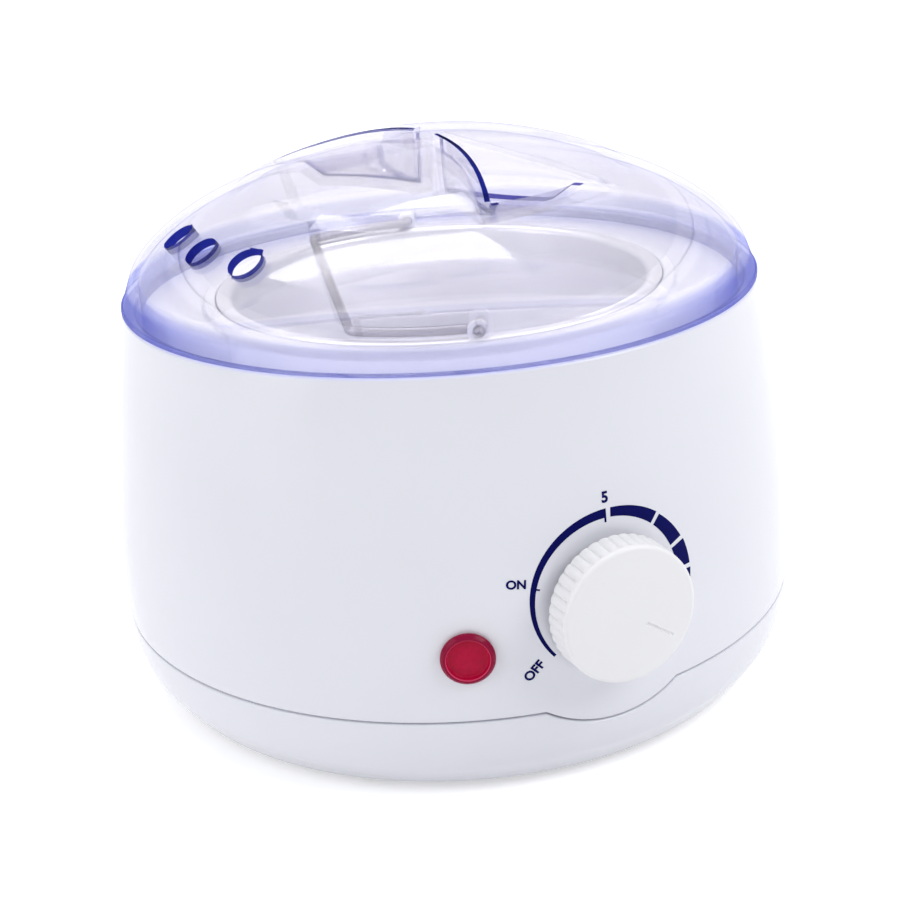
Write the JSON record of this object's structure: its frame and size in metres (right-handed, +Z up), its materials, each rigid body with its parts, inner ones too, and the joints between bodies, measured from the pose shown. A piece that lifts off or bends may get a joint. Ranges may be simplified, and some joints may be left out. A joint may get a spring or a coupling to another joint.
{
  "type": "wax warmer",
  "caption": "Round tabletop wax warmer with a lift-out pot and wire bail, a tinted lid with finger bays, a front heat dial and a pilot lamp.",
  "frame": {"origin": "middle of the base's underside, 2 mm above the surface that the rubber feet stand on", "axes": "+Z up; -Y is the front, where the dial is; +X is to the right of someone who faces the dial"},
  "size_m": [0.178, 0.1883, 0.1402],
  "materials": {
    "shell": "glossy white moulding",
    "knob": "satin white moulding",
    "lid": "clear periwinkle-blue tint",
    "aluminium": "satin drawn aluminium",
    "well": "plain drawn aluminium",
    "steel": "plated steel",
    "rubber": "dull dark rubber",
    "silicone": "dull grey silicone",
    "heater": "dull sheathed heating element",
    "insulation": "glass-fibre felt",
    "ceramic": "off-white insulating body",
    "nylon": "natural nylon",
    "lens": "translucent pinkish red",
    "bulb": "small neon lamp",
    "lead": "braided glass-fibre sleeve"
  },
  "bodies": {
    "housing": {"base_cover": "shell", "upper_housing": "shell", "heating_well": "well", "thermostat_bracket": "steel", "bracket_nut": "steel", "fuse_clip": "steel", "fuse_nut": "steel", "heater_strap": "steel", "strap_screw": "steel", "terminal_screw": "steel", "thermostat_terminal_left": "steel", "thermostat_terminal_right": "steel", "base_screw_1": "steel", "base_screw_2": "steel", "base_screw_3": "steel", "base_screw_4": "steel", "well_screw_1": "steel", "well_screw_2": "steel", "well_screw_3": "steel", "foot_1": "rubber", "foot_2": "rubber", "foot_3": "rubber", "foot_4": "rubber", "cord_gland": "rubber", "well_gasket": "silicone", "heater_band": "heater", "insulation_wrap": "insulation", "thermostat_body": "ceramic", "thermal_fuse": "ceramic", "terminal_block": "nylon", "lamp_ring": "nylon", "lamp_holder": "nylon", "lamp_lens": "lens", "neon_bulb": "bulb", "lead_live": "lead", "lead_heater": "lead", "lead_fuse": "lead", "lead_neutral": "lead", "lamp_lead_left": "lead", "lamp_lead_right": "lead"},
    "dial": {"control_knob": "knob", "thermostat_shaft": "steel"},
    "pot": {"wax_pot": "aluminium", "pot_ear_near": "aluminium", "pot_ear_far": "aluminium"},
    "bail": {"pot_bail": "steel"},
    "lid": {"lid": "lid"}
  },
  "joints": [
    {"name": "knob_turn", "type": "hinge", "parent": "housing", "child": "dial", "pos_m": [0, -0.093, 0.0451], "axis": [0, -1, 0], "range_deg": [-5, 255]},
    {"name": "pot_lift", "type": "slide", "parent": "housing", "child": "pot", "axis": [0, 0, 1], "range_m": [0, 0.08]},
    {"name": "lid_lift", "type": "slide", "parent": "pot", "child": "lid", "axis": [0, 0, 1], "range_m": [0, 0.09]},
    {"name": "bail_swing", "type": "hinge", "parent": "pot", "child": "bail", "pos_m": [0, 0, 0.1022], "axis": [0.2487, 0.9686, 0], "range_deg": [0, 90]}
  ],
  "couplings": [
    {"joint": "bail_swing", "follows": "lid_lift", "rad_per_m": 17.45}
  ]
}
